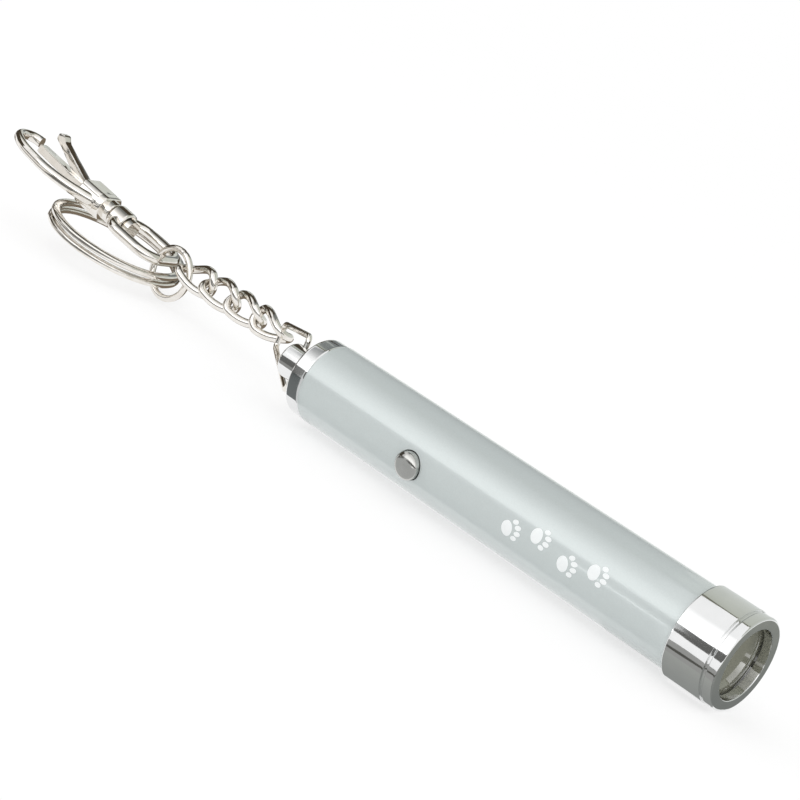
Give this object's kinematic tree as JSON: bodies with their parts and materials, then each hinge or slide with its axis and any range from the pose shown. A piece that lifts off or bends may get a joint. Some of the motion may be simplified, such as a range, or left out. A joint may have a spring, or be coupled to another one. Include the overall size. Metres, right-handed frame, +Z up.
{
  "type": "key chain light pointer",
  "caption": "Slim round pocket light pointer with a side push button, polished head and screw tail cap, on a short curb chain with a split ring and a swivel snap hook.",
  "frame": {"origin": "centre of the front opening, in the plane of the front rim face", "axes": "+X out along the beam, +Z up from the table that the pointer lies on"},
  "size_m": [0.1673, 0.0277, 0.0166],
  "materials": {
    "paint": "satin grey metallic lacquer",
    "chrome": "polished",
    "nickel": "polished nickel",
    "lens": "clear",
    "seal": "matte",
    "black": "matte",
    "lamp": "clear epoxy",
    "lead": "tinned",
    "board": "solder mask",
    "carrier": "moulded",
    "switch": "moulded",
    "brass": "plain",
    "cell": "plain",
    "steel": "spring wire"
  },
  "bodies": {
    "pointer": {"barrel": "paint", "head_bezel": "chrome", "front_lens": "lens", "lens_seal": "seal", "lens_tube": "black", "led_holder": "black", "led_lamp": "lamp", "led_lead_1": "lead", "led_lead_2": "lead", "circuit_board": "board", "board_carrier": "carrier", "tact_switch": "switch", "board_contact": "brass", "cell_1": "cell", "cell_2": "cell", "cell_3": "cell", "cell_sleeve": "carrier"},
    "button": {"push_button": "chrome"},
    "stem": {"switch_stem": "carrier"},
    "cap_carriage": {"tail_spring": "steel"},
    "cap": {"tail_cap": "chrome"},
    "bail": {"bail": "nickel"},
    "link_4": {"chain_link_4": "nickel"},
    "link_3": {"chain_link_3": "nickel"},
    "link_2": {"chain_link_2": "nickel"},
    "link_1": {"chain_link_1": "nickel"},
    "jump": {"jump_ring": "nickel"},
    "ring": {"split_ring": "nickel"},
    "eye": {"clasp_eye": "nickel"},
    "hook": {"clasp_hook": "nickel", "clasp_post": "nickel", "clasp_rivet": "nickel", "clasp_spring": "steel"},
    "lever": {"clasp_lever": "nickel"}
  },
  "joints": [
    {"name": "button_press", "type": "slide", "parent": "pointer", "child": "button", "axis": [0, 0.9703, 0.2419], "range_m": [0, 0.0006], "stiffness_N_per_m": 700},
    {"name": "stem_press", "type": "slide", "parent": "pointer", "child": "stem", "axis": [0, 0.9703, 0.2419], "range_m": [0, 0.0006]},
    {"name": "cap_feed", "type": "slide", "parent": "pointer", "child": "cap_carriage", "axis": [-1, 0, 0], "range_m": [0, 0.0028]},
    {"name": "cap_turn", "type": "hinge", "parent": "cap_carriage", "child": "cap", "pos_m": [-0.0798, 0, 0], "axis": [-1, 0, 0], "range_deg": [0, 1260]},
    {"name": "bail_swing", "type": "hinge", "parent": "cap", "child": "bail", "pos_m": [-0.087, 0, 0], "axis": [0, 0, 1], "range_deg": [-30, 60]},
    {"name": "link_4_swing", "type": "hinge", "parent": "bail", "child": "link_4", "pos_m": [-0.0997, 0.00889, 0.0004], "axis": [0, 0, 1], "range_deg": [-12, 12]},
    {"name": "link_3_swing", "type": "hinge", "parent": "link_4", "child": "link_3", "pos_m": [-0.10619, 0.00889, 0.0004], "axis": [0, 0.4067, 0.9135], "range_deg": [-10, 10]},
    {"name": "link_2_swing", "type": "hinge", "parent": "link_3", "child": "link_2", "pos_m": [-0.11239, 0.00889, 0.0004], "axis": [0, 0.7193, 0.6947], "range_deg": [-10, 10]},
    {"name": "link_1_swing", "type": "hinge", "parent": "link_2", "child": "link_1", "pos_m": [-0.11859, 0.00889, 0.0004], "axis": [0, 0.9272, 0.3746], "range_deg": [-10, 10]},
    {"name": "jump_swing", "type": "hinge", "parent": "link_1", "child": "jump", "pos_m": [-0.12479, 0.00889, 0.0004], "axis": [0, 1, 0], "range_deg": [-10, 10]},
    {"name": "ring_swing", "type": "hinge", "parent": "jump", "child": "ring", "pos_m": [-0.12808, 0.00889, -0.00351], "axis": [0.1564, 0, 0.9877], "range_deg": [-10, 10]},
    {"name": "eye_swing", "type": "hinge", "parent": "jump", "child": "eye", "pos_m": [-0.12914, 0.00889, -0.0003], "axis": [0.1736, 0, 0.9848], "range_deg": [-10, 10]},
    {"name": "hook_swivel", "type": "hinge", "parent": "eye", "child": "hook", "pos_m": [-0.14032, 0.00709, 0.00167], "axis": [-0.9727, -0.1564, 0.1715], "range_deg": [-15, 15]},
    {"name": "lever_open", "type": "hinge", "parent": "hook", "child": "lever", "pos_m": [-0.14693, 0.00724, 0.00284], "axis": [0.1736, 0, 0.9848], "range_deg": [0, 12], "stiffness_Nm_per_rad": 0.03}
  ],
  "couplings": [
    {"joint": "stem_press", "follows": "button_press", "ratio": 1}
  ]
}
